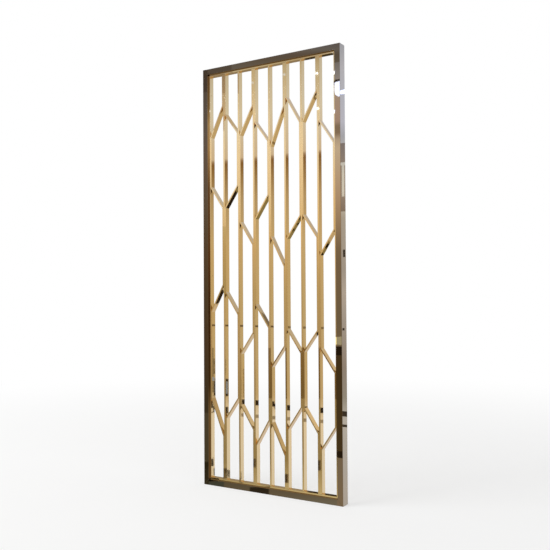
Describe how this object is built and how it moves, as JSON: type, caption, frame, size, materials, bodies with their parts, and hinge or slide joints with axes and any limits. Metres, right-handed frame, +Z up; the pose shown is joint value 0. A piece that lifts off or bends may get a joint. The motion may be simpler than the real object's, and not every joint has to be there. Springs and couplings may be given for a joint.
{
  "type": "room divider screen",
  "caption": "Full-height metal room screen: dark mirror-polished frame round a gold grille of upright bars with zigzag strips between them.",
  "frame": {"origin": "middle of the base, on the floor, halfway through the frame's depth", "axes": "+Z up, +X to the right seen from the front, +Y to the back"},
  "size_m": [0.89, 0.056, 2.4],
  "materials": {
    "dark_bronze": "mirror-polished stainless sheet with a dark bronze colour coating",
    "gold": "mirror-polished stainless steel with a gold colour coating",
    "gold_screw": "gold-coloured stainless screws",
    "steel": "plain stainless steel"
  },
  "bodies": {
    "root": {"frame_stile_left": "dark_bronze", "frame_stile_right": "dark_bronze", "frame_rail_top": "dark_bronze", "frame_rail_bottom": "dark_bronze", "liner_left": "gold", "liner_right": "gold", "liner_top": "gold", "liner_bottom": "gold", "upright_bar_1": "gold", "upright_bar_2": "gold", "upright_bar_3": "gold", "upright_bar_4": "gold", "upright_bar_5": "gold", "upright_bar_6": "gold", "upright_bar_7": "gold", "strip_1_uprights": "gold", "strip_2_uprights": "gold", "strip_3_uprights": "gold", "strip_4_uprights": "gold", "strip_5_uprights": "gold", "strip_6_uprights": "gold", "strip_7_uprights": "gold", "strip_8_uprights": "gold", "strip_1_diagonal_1": "gold", "strip_1_diagonal_2": "gold", "strip_1_diagonal_3": "gold", "strip_1_diagonal_4": "gold", "strip_2_diagonal_1": "gold", "strip_2_diagonal_2": "gold", "strip_2_diagonal_3": "gold", "strip_2_diagonal_4": "gold", "strip_3_diagonal_1": "gold", "strip_3_diagonal_2": "gold", "strip_3_diagonal_3": "gold", "strip_3_diagonal_4": "gold", "strip_4_diagonal_1": "gold", "strip_4_diagonal_2": "gold", "strip_4_diagonal_3": "gold", "strip_4_diagonal_4": "gold", "strip_5_diagonal_1": "gold", "strip_5_diagonal_2": "gold", "strip_5_diagonal_3": "gold", "strip_5_diagonal_4": "gold", "strip_6_diagonal_1": "gold", "strip_6_diagonal_2": "gold", "strip_6_diagonal_3": "gold", "strip_6_diagonal_4": "gold", "strip_7_diagonal_1": "gold", "strip_7_diagonal_2": "gold", "strip_7_diagonal_3": "gold", "strip_7_diagonal_4": "gold", "strip_8_diagonal_1": "gold", "strip_8_diagonal_2": "gold", "strip_8_diagonal_3": "gold", "strip_8_diagonal_4": "gold", "liner_screws": "gold_screw", "liner_nuts": "steel", "stud_nuts": "steel"}
  },
  "joints": []
}
